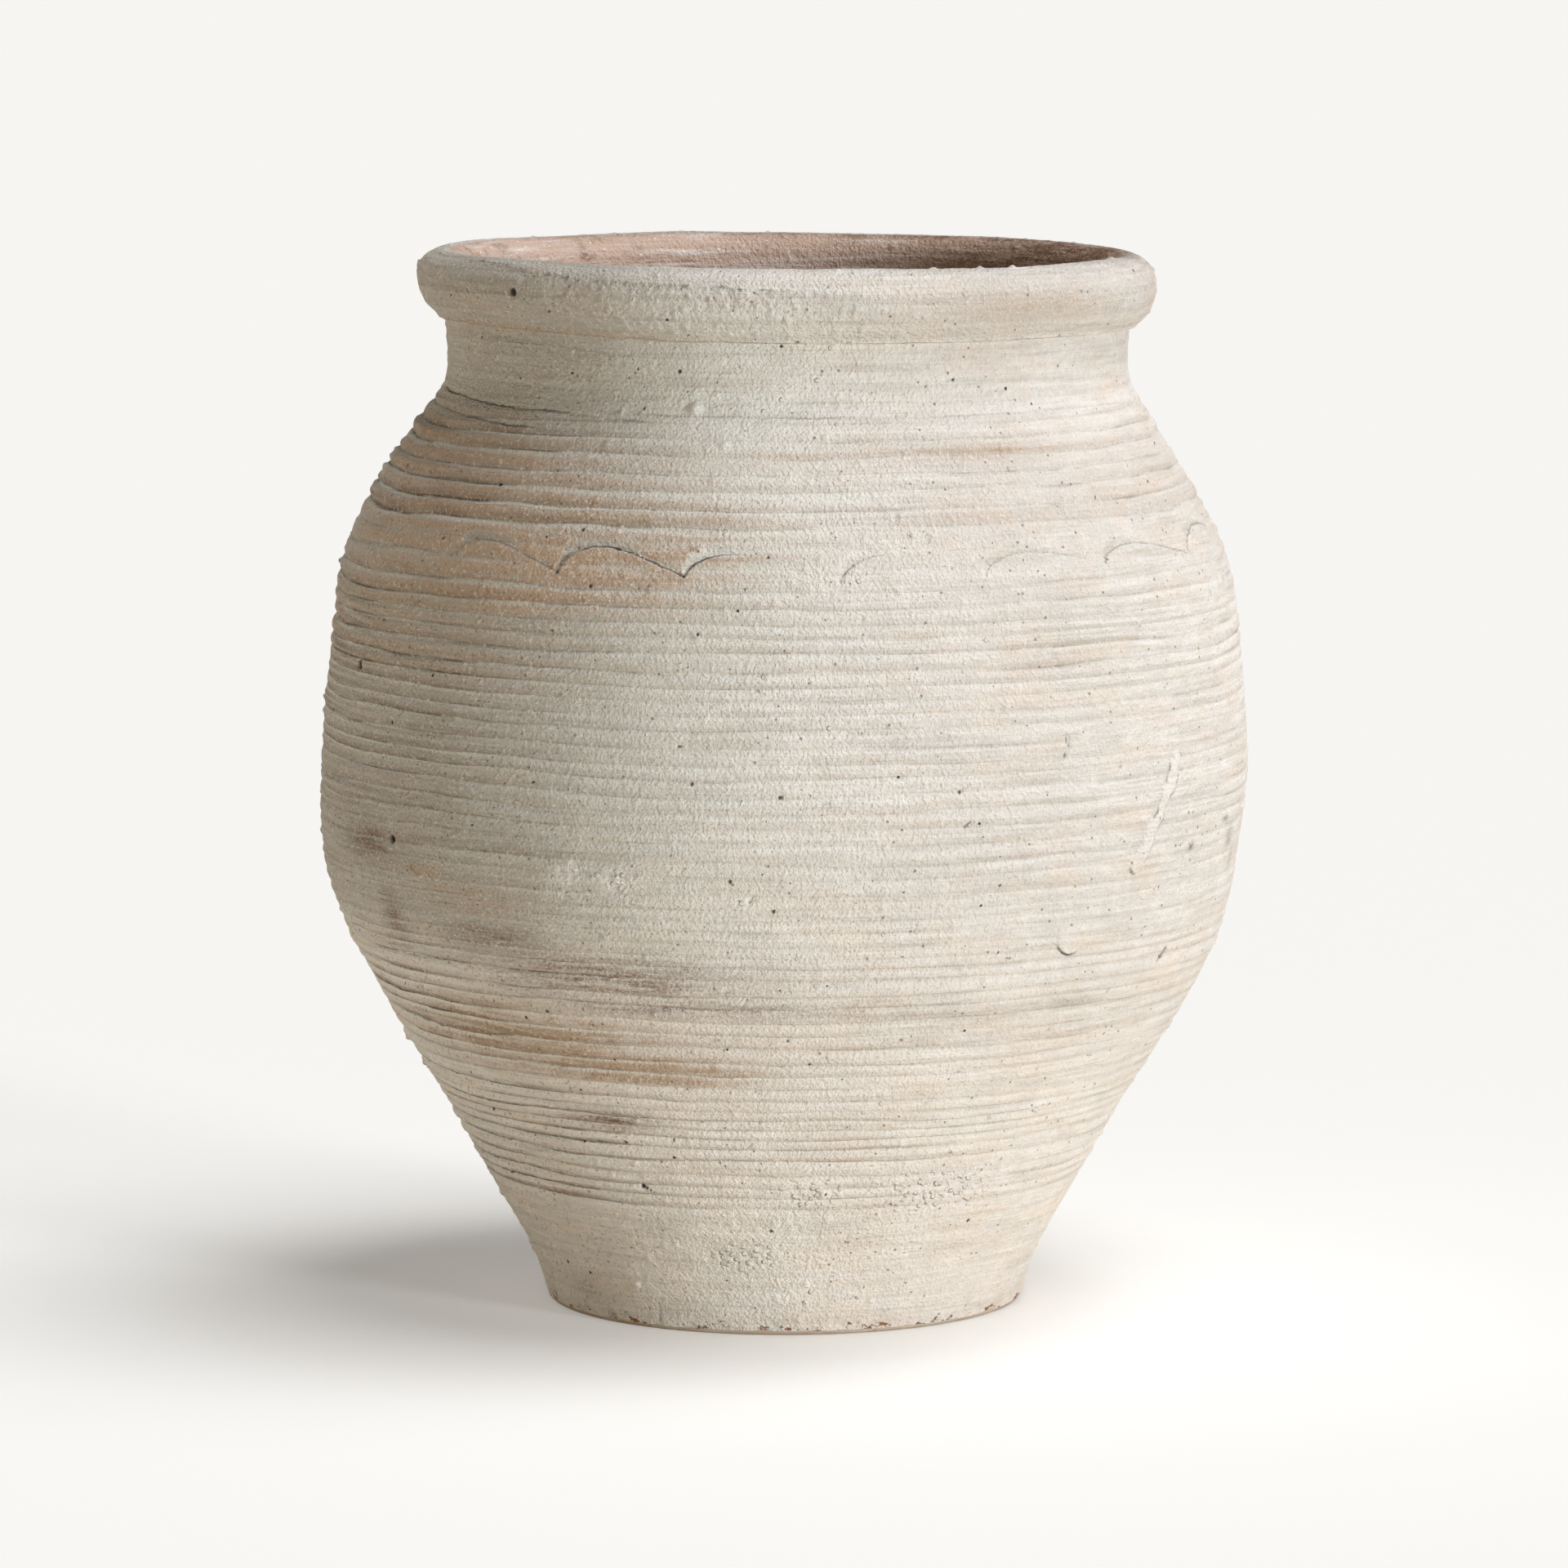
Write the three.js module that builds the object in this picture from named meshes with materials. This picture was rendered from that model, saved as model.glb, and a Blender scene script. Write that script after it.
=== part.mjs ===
// A clay floor vase, thrown in ring sections that are stacked on a base slab and luted at keyed joints.
// Millimetres, +Z up: the slab stands on z = 0 and the Z axis runs up through the mouth.
import * as THREE from "three";

// Height of the whole vase and of each section, except the belly, which fills what is left between them.
const OVERALL_HEIGHT = 520;
const SLAB_EDGE_HEIGHT = 5;
const FOOT_WALL_HEIGHT = 63;
const LOWER_WALL_HEIGHT = 150;
const SHOULDER_WALL_HEIGHT = 98;
const NECK_HEIGHT = 33;
const RIM_HEIGHT = 37;

// Outside radius of the wall at each joint.
const FOOT_RADIUS = 116.4;
const FOOT_JOINT_RADIUS = 149.7;
const BELLY_JOINT_RADIUS = 225.7;
const SHOULDER_JOINT_RADIUS = 222.1;
const NECK_JOINT_RADIUS = 172.8;
const RIM_JOINT_RADIUS = 168.2;

// Lean of the wall at each joint: radius gained for each millimetre of height.
const FOOT_LEAN = 0.28;
const FOOT_JOINT_LEAN = 0.5;
const BELLY_JOINT_LEAN = 0.18;
const SHOULDER_JOINT_LEAN = -0.1;
const NECK_JOINT_LEAN = -0.67;
const RIM_JOINT_LEAN = 0;

// Clay thickness, square to the wall.
const WALL_THICKNESS = 12;

// Keyed joint between two sections: a ring tongue on the lower one, a groove with a slip gap in the upper.
const TONGUE_WIDTH = 4;
const TONGUE_HEIGHT = 3;
const TONGUE_TAPER = 0.5;
const SLIP_GAP = 0.3;

// Base slab: a floor plug inside the foot, and an edge that shows below the wall.
const SLAB_FLOOR_HEIGHT = 11;
const SLAB_EDGE_INSET = 0.6;
const SLAB_EDGE_CHAMFER = 1.2;

// Throwing ridges: the space between crests, and how far a crest stands out from the trough above it.
const LOWER_RIDGE_PITCH = 10;
const LOWER_RIDGE_DEPTH = 1.2;
const BELLY_RIDGE_PITCH = 11;
const BELLY_RIDGE_DEPTH = 1;
const SHOULDER_RIDGE_PITCH = 12;
const SHOULDER_RIDGE_DEPTH = 2.2;
const RIDGE_FALL_SHARE = 0.4;

// Bands beside the joints that the potter wiped smooth.
const BELLY_WIPE_BELOW = 22;
const BELLY_WIPE_ABOVE = 26;
const NECK_WIPE = 14;
const JOINT_WIPE = 4;

// Rolled rim: how far it stands out from the neck, its rounded part, and the bevel beneath.
const ROLL_OVERHANG = 14;
const ROLL_HALF_HEIGHT = 14;
const ROLL_LOWEST_ANGLE = -50;
const RIM_GROOVE_HEIGHT = 1.5;

// Fineness of the mesh.
const TURN_SEGMENTS = 40;
const SMOOTH_STEP = 16;
const ROLL_STEPS = 10;

const CLAY = { color: 0xd8d0c4, roughness: 0.9, metalness: 0 };
const SLAB_CLAY = { color: 0xc9b08c, roughness: 0.92, metalness: 0 };

// Joints below the belly, stacked up from the slab, and those above it, counted down from the crest of the rim.
const ledge = { z: SLAB_EDGE_HEIGHT, radius: FOOT_RADIUS, lean: FOOT_LEAN };
const footJoint = { z: ledge.z + FOOT_WALL_HEIGHT, radius: FOOT_JOINT_RADIUS, lean: FOOT_JOINT_LEAN };
const bellyJoint = { z: footJoint.z + LOWER_WALL_HEIGHT, radius: BELLY_JOINT_RADIUS, lean: BELLY_JOINT_LEAN };
const rimJoint = { z: OVERALL_HEIGHT - RIM_HEIGHT, radius: RIM_JOINT_RADIUS, lean: RIM_JOINT_LEAN };
const neckJoint = { z: rimJoint.z - NECK_HEIGHT, radius: NECK_JOINT_RADIUS, lean: NECK_JOINT_LEAN };
const shoulderJoint = {
  z: neckJoint.z - SHOULDER_WALL_HEIGHT,
  radius: SHOULDER_JOINT_RADIUS,
  lean: SHOULDER_JOINT_LEAN,
};

// Outside radius and lean between two joints: a cubic that meets both joints' radius and lean.
function wallAt(lower, upper, z) {
  const rise = upper.z - lower.z;
  const t = (z - lower.z) / rise;
  const s = 1 - t;
  const chord = lower.radius * s * s * (1 + 2 * t) + upper.radius * t * t * (1 + 2 * s);
  const bend = rise * s * t * (lower.lean * s - upper.lean * t);
  const chordLean = (6 * s * t * (upper.radius - lower.radius)) / rise;
  const bendLean = lower.lean * s * (s - 2 * t) + upper.lean * t * (t - 2 * s);
  return { radius: chord + bend, lean: chordLean + bendLean };
}

// Inside radius for an outside radius, with the clay thickness measured square to a leaning wall.
function insideRadius({ radius, lean }) {
  return radius - WALL_THICKNESS * Math.hypot(1, lean);
}

// Middle of the wall at a joint, where its tongue and groove run.
function keyRadius(joint) {
  return (joint.radius + insideRadius(joint)) / 2;
}

// Top land of a section, from the outside in, with its tongue.
function tongueLand(joint) {
  const middle = keyRadius(joint);
  const foot = TONGUE_WIDTH / 2;
  const top = foot - TONGUE_TAPER;
  const crest = joint.z + TONGUE_HEIGHT;
  return [
    [joint.radius, joint.z],
    [middle + foot, joint.z],
    [middle + top, crest],
    [middle - top, crest],
    [middle - foot, joint.z],
    [insideRadius(joint), joint.z],
  ];
}

// Bottom land of a section, from the inside out, with its groove: the tongue of the section below plus the gap.
function grooveLand(joint) {
  const middle = keyRadius(joint);
  const mouth = TONGUE_WIDTH / 2 + SLIP_GAP;
  const root = mouth - TONGUE_TAPER;
  const top = joint.z + TONGUE_HEIGHT + SLIP_GAP;
  return [
    [insideRadius(joint), joint.z],
    [middle - mouth, joint.z],
    [middle - root, top],
    [middle + root, top],
    [middle + mouth, joint.z],
    [joint.radius, joint.z],
  ];
}

// Bottom land of the foot, which sits flat on the slab's ledge.
function flatLand(joint) {
  return [
    [insideRadius(joint), joint.z],
    [joint.radius, joint.z],
  ];
}

// Points between two joints at an even step, without the joints themselves.
function smoothHeights(from, to) {
  const steps = Math.max(2, Math.round((to - from) / SMOOTH_STEP));
  return Array.from({ length: steps - 1 }, (_, i) => from + ((to - from) * (i + 1)) / steps);
}

// Outside points of a section: a crest and a trough for each throwing ridge in its band, smooth elsewhere.
function outsidePoints(lower, upper, band) {
  const point = (z, push) => [wallAt(lower, upper, z).radius + push, z];
  const smooth = (from, to) => smoothHeights(from, to).map((z) => point(z, 0));
  if (!band) return smooth(lower.z, upper.z);
  const from = lower.z + band.wipeBelow;
  const to = upper.z - band.wipeAbove;
  const count = Math.max(1, Math.round((to - from) / band.pitch));
  const pitch = (to - from) / count;
  const ridges = [];
  for (let i = 0; i < count; i += 1) {
    ridges.push(point(from + pitch * i, -band.depth / 2));
    ridges.push(point(from + pitch * (i + 1 - RIDGE_FALL_SHARE), band.depth / 2));
  }
  ridges.push(point(to, -band.depth / 2));
  return [...smooth(lower.z, from), ...ridges, ...smooth(to, upper.z)];
}

// Inside points of a section, from the top down.
function insidePoints(lower, upper) {
  const point = (z) => [insideRadius(wallAt(lower, upper, z)), z];
  return smoothHeights(lower.z, upper.z).reverse().map(point);
}

// One turned body around Z from a closed run of [radius, z] points, outside up and inside down.
function turned(name, points, look) {
  const outline = points.map(([radius, z]) => new THREE.Vector2(radius, z));
  const body = new THREE.LatheGeometry(outline, TURN_SEGMENTS);
  body.rotateX(Math.PI / 2);
  const mesh = new THREE.Mesh(body, new THREE.MeshStandardMaterial(look));
  mesh.name = name;
  return mesh;
}

// A thrown ring: its bottom land, outside, top land and inside, closed where it began.
function thrownRing(name, lower, upper, bottomLand, band) {
  const bottom = bottomLand(lower);
  const start = bottom[bottom.length - 1];
  const outline = [
    start,
    ...outsidePoints(lower, upper, band),
    ...tongueLand(upper),
    ...insidePoints(lower, upper),
    ...bottom,
  ];
  return turned(name, outline, CLAY);
}

// The base slab: a chamfered edge under the wall, and a floor plug that fills the foot.
function baseSlab() {
  const edge = FOOT_RADIUS - SLAB_EDGE_INSET;
  const plug = insideRadius(ledge) - SLIP_GAP;
  const floor = ledge.z + SLAB_FLOOR_HEIGHT;
  const outline = [
    [0, 0],
    [edge - SLAB_EDGE_CHAMFER, 0],
    [edge, SLAB_EDGE_CHAMFER],
    [edge, ledge.z],
    [plug, ledge.z],
    [plug, floor],
    [0, floor],
  ];
  return turned("base_slab", outline, SLAB_CLAY);
}

// The rolled rim: a groove at the neck, a bevel, the rounded roll and the inside of the mouth.
function rimRoll() {
  const rollHeight = OVERALL_HEIGHT - ROLL_HALF_HEIGHT;
  const lowest = THREE.MathUtils.degToRad(ROLL_LOWEST_ANGLE);
  const roll = [];
  for (let i = 0; i <= ROLL_STEPS; i += 1) {
    const angle = lowest + ((Math.PI - lowest) * i) / ROLL_STEPS;
    const reach = Math.cos(angle) > 0 ? ROLL_OVERHANG : WALL_THICKNESS;
    roll.push([rimJoint.radius + reach * Math.cos(angle), rollHeight + ROLL_HALF_HEIGHT * Math.sin(angle)]);
  }
  const outline = [
    [rimJoint.radius, rimJoint.z],
    [rimJoint.radius, rimJoint.z + RIM_GROOVE_HEIGHT],
    ...roll,
    ...grooveLand(rimJoint),
  ];
  return turned("rim_roll", outline, CLAY);
}

const lowerBand = {
  pitch: LOWER_RIDGE_PITCH,
  depth: LOWER_RIDGE_DEPTH,
  wipeBelow: JOINT_WIPE,
  wipeAbove: BELLY_WIPE_BELOW,
};
const bellyBand = {
  pitch: BELLY_RIDGE_PITCH,
  depth: BELLY_RIDGE_DEPTH,
  wipeBelow: BELLY_WIPE_ABOVE,
  wipeAbove: JOINT_WIPE,
};
const shoulderBand = {
  pitch: SHOULDER_RIDGE_PITCH,
  depth: SHOULDER_RIDGE_DEPTH,
  wipeBelow: JOINT_WIPE,
  wipeAbove: NECK_WIPE,
};

const vase = new THREE.Group();
vase.name = "clay_vase";
vase.add(baseSlab());
vase.add(thrownRing("foot_wall", ledge, footJoint, flatLand));
vase.add(thrownRing("lower_wall", footJoint, bellyJoint, grooveLand, lowerBand));
vase.add(thrownRing("belly_wall", bellyJoint, shoulderJoint, grooveLand, bellyBand));
vase.add(thrownRing("shoulder_wall", shoulderJoint, neckJoint, grooveLand, shoulderBand));
vase.add(thrownRing("neck_collar", neckJoint, rimJoint, grooveLand));
vase.add(rimRoll());

export default vase;
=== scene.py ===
import math

import bpy
import numpy as np
from mathutils import Euler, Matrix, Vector


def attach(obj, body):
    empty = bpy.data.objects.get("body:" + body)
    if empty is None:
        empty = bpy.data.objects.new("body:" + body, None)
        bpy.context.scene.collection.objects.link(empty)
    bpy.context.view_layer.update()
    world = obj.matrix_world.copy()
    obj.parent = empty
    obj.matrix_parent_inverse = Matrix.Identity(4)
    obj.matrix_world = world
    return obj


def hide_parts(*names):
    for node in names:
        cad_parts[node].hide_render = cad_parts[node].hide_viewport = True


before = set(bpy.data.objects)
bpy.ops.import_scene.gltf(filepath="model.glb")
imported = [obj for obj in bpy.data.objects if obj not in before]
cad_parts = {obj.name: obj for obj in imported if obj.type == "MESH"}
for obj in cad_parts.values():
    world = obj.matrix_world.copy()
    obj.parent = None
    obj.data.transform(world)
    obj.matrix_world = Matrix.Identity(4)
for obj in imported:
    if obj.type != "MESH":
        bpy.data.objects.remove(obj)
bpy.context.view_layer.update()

# Lengths are millimetres until a mesh is made, as in the part's source.
# Angles are degrees round the axis, from the camera's side towards the right of the photograph.
# On the rim, a mark's height is the way along its outline: up the roll, over the crest and down the mouth.
MM = 0.001

# Joints of the wall from the foot up: height, outside radius and lean, as in the part's source.
LEDGE = (5, 116.4, 0.28)
FOOT_JOINT = (68, 149.7, 0.5)
BELLY_JOINT = (218, 225.7, 0.18)
SHOULDER_JOINT = (352, 222.1, -0.1)
NECK_JOINT = (450, 172.8, -0.67)
RIM_JOINT = (483, 168.2, 0.0)
CREST_HEIGHT = 520
WALL_THICKNESS = 12

# The rolled rim: bevelled under its left side, fully round at its right, and a little higher at the left.
ROLL_OVERHANG = 14
LEFT_ROLL = {"lowest_angle": -46, "middle": 508, "drop": 19.5, "groove": 3.5}
RIGHT_ROLL = {"lowest_angle": -86, "middle": 506, "drop": 21, "groove": 0.5}
RIM_LIFT = {"all": 0.9, "right": -1.4, "front": -0.4}
RIM_LIFT_REACH = 15

# The base slab.
SLAB_EDGE_INSET = 0.6
SLAB_EDGE_ROUND = 1.2
SLAB_FLOOR_HEIGHT = 11
SLIP_GAP = 0.3

# The foot's edge spreads, is smeared down over the slab and chipped; each reaches some way up the wall.
FOOT_FLARE = 2.4
FOOT_FLARE_REACH = 24
FOOT_SMEAR = 2.3
FOOT_SMEAR_REACH = 20
FOOT_CHIP_REACH = 7
FOOT_CHIP_DEPTH = 0.9
SLAB_CHIP_DEPTH = 0.8

# Fineness of the meshes, and the small disc that closes the slab in its middle.
COLUMNS = 1080
ROW_STEP = 1.0
INSIDE_ROW_STEP = 4.0
SLAB_ROW_STEP = 2.5
SLAB_MIDDLE_RADIUS = 1
CURVE_STEPS = 60
SHARP_ANGLE = 50

# Throwing ridges by height: the space between them, how far they stand out and how plain their lines are.
RIDGE_PITCHES = ((0, 7), (190, 7), (240, 7.2), (350, 7.6), (400, 9), (455, 9.5), (700, 10))
RIDGE_HEIGHTS = (
    (0, 0), (64, 0), (72, 1.9), (180, 1.8), (198, 0.8), (236, 0.6), (256, 1.2), (345, 1.5),
    (368, 1.3), (376, 0.8), (393, 0.8), (401, 2.3), (434, 2.2), (446, 1.3), (458, 0.15), (700, 0.05),
)
LINE_SHOWS = (
    (0, 0), (60, 0.1), (70, 1), (185, 1), (200, 0.3), (235, 0.25), (260, 0.55), (365, 0.7),
    (375, 0.3), (393, 0.3), (400, 0.75), (446, 0.7), (460, 0.15), (700, 0.1),
)

# Each ridge's own width, from steps of height, and its own strength.
WIDTH_STEP = 8.0
WIDTH_STEPS = 88
WIDTH_RANGE = (0.6, 1.5)
STRENGTH_COUNT = 200
TOP_HEIGHT = 700

# A finer ripple over the ridges, and the finger ridges inside.
FINE_PITCH = 4.4
FINE_SHARE = 0.34
FINGER_PITCH = 14
FINGER_HEIGHT = 0.8

# How worn the wall is by angle: most on its left, least on its right.
# It also paints shade and highlight: the ridges' dark faces and creases, their pale tops and dark sand
# are strongest where it is high, on the shaded left.
WEAR_AND_SHADE_BY_ANGLE = (
    (-180, 0.6), (-120, 0.9), (-85, 1), (-50, 1), (-22, 0.5),
    (8, 0.3), (60, 0.2), (120, 0.4), (180, 0.6),
)

# Sideways drift of the wall, as it stands a little crooked: height, shift to the right.
DRIFT = (
    (0, 0), (120, 0.5), (180, 0.2), (222, -2.2), (270, 0.2),
    (345, 0.8), (415, -0.9), (455, 1.4), (490, 1.4), (520, 0.6),
)

# Noise on the surface: seed, size, and how far it is stretched round the wall.
WORN_CLOUDS = (10, 70)
FINE_WANDER = (18, 12, 6)
FINGER_WANDER = (15, 30, 4)
FINGER_DENTS = (16, 40)
RIM_WAVES = (81, 60)
LIP_WANDER = (83, 9)
BARE_EDGE = (17, 9)

# Sums of noise: a strength for each, then its seed, size and stretch.
RIDGE_WANDER = ((0.3, 11, 22, 5), (0.12, 12, 9, 4))
HAND_DENTS = ((0.7, 21, 90), (0.35, 22, 40))
WIPING_LINES = ((0.2, 23, 2.6, 25), (0.12, 24, 4.5, 14))
SAND = ((0.22, 26, 4.4), (0.24, 27, 2.9))
GRIT = ((0.7, 51, 2.6), (0.5, 52, 4.5))
SEAM_WANDER = ((0.8, 61, 20), (0.4, 62, 4))
FOLD_WANDER = ((0.8, 71, 16), (0.6, 72, 3.5))
FOLD_SCRATCHES = ((1, 73, 7, 0.2), (0.5, 74, 2.5, 0.6))
FOOT_CHIPS = ((1.4, 91, 7), (0.6, 92, 3))
SLAB_CHIPS = ((1, 93, 9), (0.5, 94, 3))

# Patchy shares: their middle, swing, lowest and highest value, then the noise's seed, size and stretch.
RIDGE_PATCHES = (1, 0.9, 0.1, 2, 13, 14, 7)
FINE_PATCHES = (0.4, 1.6, 0, 1, 19, 16, 6)
LINE_PATCHES = (0.85, 0.5, 0.3, 1, 14, 20, 6)
SANDY_PATCHES = (0.7, 0.8, 0.35, 1.3, 25, 60)
SCALLOP_PATCHES = (0.9, 0.7, 0.3, 1, 42, 6)
SLIP_PATCHES = (0.3, 1.6, 0, 1, 64, 5)
SEAM_PATCHES = (0.6, 0.9, 0.15, 1, 63, 9, 3)
FOLD_PATCHES = (0.1, 1.6, 0, 1, 75, 6)
LIP_PATCHES = (0.8, 0.8, 0.2, 1, 84, 25)

# Lumps and pits strewn over the wall, and lumps on the front of the rim.
LUMP_COUNT = 2000
LUMP_SIZES = (1.0, 1.8)
PIT_COUNT = 120
PIT_SIZES = (0.7, 1.3)
PIT_DEPTHS = (0.3, 0.8)
STREWN_HEIGHTS = (8, 560)
RIM_LUMP_COUNT = 220
RIM_LUMP_ANGLE = -10
RIM_LUMP_SPREAD = 18
RIM_LUMP_HEIGHTS = (491, 517)
RIM_LUMP_SIZES = (0.9, 1.5)
RIM_LUMP_RISES = (0.4, 1.0)

# Incised scallops on the front: angle and height of each cusp, the rise of the arch that starts there,
# the depth of its cut and the share of the way to the next cusp after which it fades.
FRONT_SCALLOPS = (
    (-47.3, 384.0, 9.0, 1.2, 1.2),
    (-29.9, 378.9, 12.8, 1.8, 1.2),
    (-12.7, 378.8, 11.0, 1.7, 0.3),
    (7.0, 376.5, 11.5, 0.98, 0.32),
    (26.2, 378.4, 8.4, 0.88, 0.8),
    (45.5, 380.3, 8.0, 1.0, 1.0),
    (65.6, 378.2, 11.7, 1.05, 0.7),
)
SCALLOP_COUNT = 19
SCALLOP_PEAK_POWER = 0.62
SCALLOP_WIDTH = 5.5
SCALLOP_REACH = 46

# The scallops out of sight: ranges of height, rise, depth and share, and how many of the last are worn.
BACK_SCALLOPS = ((377, 382), (8.5, 12.5), (0.6, 1.6), (0.4, 1.2))
WORN_SCALLOPS = 2

# Larger marks on the front: angle, height and size.
SLIP_RUN_TOP = (55.7, 286.5)
SLIP_RUN_END = (48.3, 236.5)
SLIP_RUN_HALF_WIDTH = 3.6
SLIP_RUN_REACH = 44
SLIP_BEAD_RADIUS = 5.2
DAB = (38.3, 204.3, 9.5)
NECK_LUMP = (-14.7, 454.2, 2.7)
NECK_LUMP_RISE = 2.8
NICK = (-26.4, 76.6, 1.5)
DARK_PITS = (
    (-66.5, 325.0, 2.9), (-54.9, 244.9, 2.6), (-45.8, 511.5, 2.5), (-43.9, 416.9, 1.1),
    (-50.7, 390.1, 1.2), (-21.8, 390.5, 1.0), (-10.7, 352.3, 1.1), (-29.8, 351.7, 1.0),
    (-2.0, 387.8, 1.0), (-70.1, 419.1, 1.1), (-60.5, 348.5, 1.0), (-61.8, 482.8, 1.1),
    (-37.8, 469.0, 1.0), (-25.0, 472.3, 0.9), (-23.4, 453.6, 1.0), (-56.0, 449.2, 0.9),
    (-1.0, 484.2, 1.2), (-63.5, 507.0, 0.9), (-38.7, 503.4, 0.9),
)

# Rough patches: angle, height, half width and half height.
ROUGH_PATCHES = (
    (-26.6, 238.3, 8, 6),
    (-20.1, 235.7, 12, 6),
    (28.4, 74.9, 34, 12),
    (5.1, 75.6, 16, 8),
    (-7.2, 41.8, 20, 9),
)

# Short cracks: angle, height, sideways lean, half length and how plainly each shows.
SLITS = (
    (57.1, 187.2, 1.3, 3.2, 1.0), (57.7, 187.6, 1.3, 2.2, 0.8), (35.8, 297.7, -0.3, 2.6, 0.9),
    (35.4, 292.6, 0.4, 1.8, 0.6), (-30.2, 11.0, 0.4, 3.4, 0.3), (44.1, 283.0, 1.2, 1.6, 0.5),
    (-3.5, 228.0, 0.8, 1.5, 0.6), (22.0, 262.0, 1.4, 1.2, 0.6), (128.0, 300.0, 0.6, 3.0, 0.8),
    (-150.0, 210.0, 1.0, 3.0, 0.8),
)

# The neck's seam shows as broken lines: angle and height of their points, then how plainly each shows.
SEAM_LINES = (
    ((-84, 457.0), (-75.5, 455.0), (-51, 450.9), (-37, 450.2), (-20, 447.4), 0.9),
    ((-74, 447.8), (-51.6, 443.4), (-38, 442.2), 0.8),
    ((-62, 484.2), (-40, 481.1), (-22, 478.3), 0.2),
    ((-24, 451.0), (-5, 450.2), (14, 450.6), 0.3),
    ((20, 449.0), (45, 450.5), (72, 450.0), 0.25),
    ((95, 451.0), (130, 449.0), (165, 449.5), 0.7),
    ((-172, 448.0), (-140, 451.0), (-105, 452.0), 0.8),
)

# The lip on the bevel under the roll: angle and height.
LIP_PATH = (
    (-180, 489), (-120, 491), (-62, 491.6), (-36, 490.2),
    (-15, 488.4), (60, 487), (120, 487.5), (180, 489),
)

# The edge where the rim's clay was folded over: angle and true height.
FOLD_PATH = (
    (-82, 519.3), (-75, 519.0), (-52, 518.1), (-40, 514.6),
    (-20, 512.2), (-9, 511.9), (8, 508.8), (22, 507.0),
)

# Tints: angle, height, half width in degrees, half height, strength.
TAN_TINTS = (
    (-46, 398, 36, 30, 1.2), (-30, 384, 24, 9, 1.3), (-62, 432, 26, 14, 0.8),
    (-60, 345, 32, 28, 0.6), (-35, 366, 26, 7, 0.8), (28, 433, 16, 6, 0.45),
    (24, 404, 14, 5, 0.35), (40, 509, 16, 9, 0.9), (46, 415, 30, 26, 0.15),
    (-46, 490, 34, 4, 0.7), (-62, 505, 30, 14, 0.4), (-38, 153, 22, 17, 1.7),
    (-18, 140, 14, 7, 1.2), (-40, 221, 10, 7, 1.0), (-49, 232, 4, 4, 0.9),
    (12, 432, 60, 3, 0.3), (120, 400, 40, 24, 0.7), (170, 150, 40, 26, 0.8),
    (-130, 260, 40, 30, 0.6),
)
# The wash's brightness by height: lighter low down, darker on the shoulder and rim; partly its own tone,
# partly painted light on the lower wall.
WASH_AND_LIGHT_BY_HEIGHT = (
    (0, 1.02), (60, 1.02), (180, 1.02), (240, 0.97), (330, 0.97),
    (365, 0.93), (440, 0.93), (460, 0.98), (490, 0.9), (700, 0.9),
)
# Painted light and shade in the wash: lighter at the front of the belly, shoulder and foot, darker on the
# lit right of the belly and the rim.
PAINTED_LIGHT_TINTS = (
    (38, 300, 32, 250, -0.08),
    (-2, 300, 16, 100, 0.06),
    (-4, 425, 20, 40, 0.12),
    (-8, 35, 34, 45, 0.1),
    (45, 505, 30, 12, -0.08),
)

# The upper wall's wash is darker on its left, partly dirt and partly painted shade:
# its strength by angle, and how much that tells by height.
DIRT_AND_SHADE_BY_ANGLE = (
    (-180, 1), (-125, 0.95), (-90, 0.72), (-60, 0.66), (-32, 0.68), (-14, 0.9), (0, 1), (180, 1),
)
DIRT_AND_SHADE_HEIGHTS = ((0, 0), (185, 0), (205, 1), (395, 1), (420, 0.7), (455, 1), (700, 1))

# Where the wash has a cool cast, and where it is stained; one patch, inside the mouth at the right, is
# painted shade.
COOL_TINTS = ((-12, 330, 24, 150, 1.0), (-10, 470, 30, 40, 0.6), (-5, 40, 24, 40, 0.5))
STAINS_AND_SHADE = (
    (-23, 187, 19, 10, 1.15), (-39, 203, 8, 6, 1.0), (-14, 173, 18, 4, 0.7),
    (-29, 112, 8, 5, 1.3), (-61, 241, 6, 9, 1.2), (-57, 206, 2.5, 13, 1.0),
    (10, 172, 18, 5, 0.3), (150, 190, 26, 9, 0.8), (-140, 120, 20, 8, 0.6),
    (95, 230, 5, 14, 0.5), (59.6, 239.4, 0.7, 2.0, 1.2), (73.2, 239.0, 1.6, 5.0, 0.9),
    (76.0, 227.0, 1.2, 5.0, 0.7), (70.2, 248.5, 1.3, 2.0, 0.8), (31.0, 166.0, 11, 1.8, 0.35),
    (27.0, 155.0, 14, 2.4, 0.3), (40.0, 171.5, 6, 1.6, 0.4), (-52, 17, 6, 6, 0.4),
    (-24, 54, 7, 5, 0.3), (-10, 47, 6, 6, 0.25), (6, 58, 9, 4, 0.2),
    (-62, 262, 8, 6, 0.35), (-40, 300, 12, 3, 0.2), (180, 538, 70, 2.5, 0.8),
    # Painted shade: the dark patch inside the mouth at the right.
    (112, 560, 44, 40, 1.7),
)


def colour(red, green, blue):
    """A colour given as it looks on screen, 0 to 255, as the linear value that a shader takes."""
    def linear(value):
        share = value / 255
        return share / 12.92 if share <= 0.04045 else ((share + 0.055) / 1.055) ** 2.4
    return (linear(red), linear(green), linear(blue), 1.0)


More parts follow.
